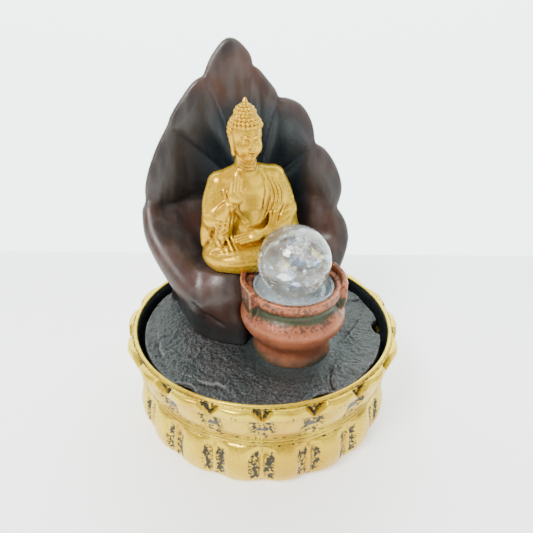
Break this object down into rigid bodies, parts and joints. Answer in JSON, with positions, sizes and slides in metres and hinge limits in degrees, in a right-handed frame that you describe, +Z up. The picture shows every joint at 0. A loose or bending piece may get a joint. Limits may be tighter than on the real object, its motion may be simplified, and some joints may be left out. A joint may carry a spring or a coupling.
{
  "type": "tabletop water fountain",
  "caption": "Tabletop fountain: lotus-petal basin with a pump, rock plate lid, leaf backdrop, seated figure, and a pot with a glass ball rolling on a clear dish.",
  "frame": {"origin": "middle of the basin, on the surface that its feet stand on", "axes": "+Z up, the front (the mould seam, and the pot's side) towards -Y, +X to the viewer's right"},
  "size_m": [0.21, 0.2074, 0.2746],
  "materials": {
    "gold_resin": "antiqued gold paint on cast resin, black inside",
    "figure_gold": "gold paint on cast resin",
    "leaf_brown": "dark brown satin paint on cast resin",
    "rock_grey": "rough dark grey cast stone",
    "pot_copper": "copper and green paint on cast resin",
    "clear_plastic": "clear moulded plastic",
    "crackle_glass": "crackled clear glass",
    "black_plastic": "moulded black plastic",
    "dark_rubber": "moulded rubber",
    "vinyl_tube": "clear flexible vinyl",
    "board_green": "solder-masked circuit board",
    "led_white": "white lamp bodies",
    "silicon_steel": "stacked steel sheets",
    "copper_wire": "enamelled winding wire",
    "potting_resin": "poured black resin",
    "ceramic_white": "ground ceramic",
    "ferrite": "sintered magnet",
    "impeller_grey": "moulded plastic"
  },
  "bodies": {
    "base": {"basin": "gold_resin", "basin_feet": "dark_rubber", "cord_grommet": "dark_rubber", "pump_housing": "black_plastic", "stator_core": "silicon_steel", "stator_coil": "copper_wire", "pump_potting": "potting_resin", "pump_gland": "dark_rubber", "rotor_shaft": "ceramic_white", "shaft_bushes": "dark_rubber", "volute": "black_plastic", "suction_cups": "dark_rubber"},
    "lid": {"rock_plate": "rock_grey", "backdrop": "leaf_brown", "seated_figure": "figure_gold", "pot": "pot_copper", "tube_grommet": "dark_rubber", "supply_tube": "vinyl_tube"},
    "dish": {"ball_seat": "clear_plastic", "lamp_housing": "black_plastic", "lamp_board": "board_green", "lamp_leds": "led_white", "lamp_lens": "clear_plastic", "lamp_gland": "dark_rubber"},
    "ball": {"crystal_ball": "crackle_glass"},
    "rotor": {"rotor_magnet": "ferrite", "impeller": "impeller_grey"},
    "cover": {"intake_cover": "black_plastic"},
    "dial": {"flow_dial": "impeller_grey"}
  },
  "joints": [
    {"name": "lid_lift", "type": "slide", "parent": "base", "child": "lid", "axis": [0, 0, 1], "range_m": [0, 0.09]},
    {"name": "dish_lift", "type": "slide", "parent": "lid", "child": "dish", "axis": [0, 0, 1], "range_m": [0, 0.05]},
    {"name": "ball_roll", "type": "hinge", "parent": "dish", "child": "ball", "pos_m": [0.0212, -0.0258, 0.1414], "axis": [1, 0, 0], "continuous": true},
    {"name": "rotor_spin", "type": "hinge", "parent": "base", "child": "rotor", "pos_m": [0, -0.0258, 0.024], "axis": [1, 0, 0], "continuous": true},
    {"name": "cover_pull", "type": "slide", "parent": "base", "child": "cover", "axis": [1, 0, 0], "range_m": [0, 0.02]},
    {"name": "dial_turn", "type": "hinge", "parent": "cover", "child": "dial", "pos_m": [0.0392, -0.0258, 0.024], "axis": [1, 0, 0], "range_deg": [0, 60]}
  ]
}
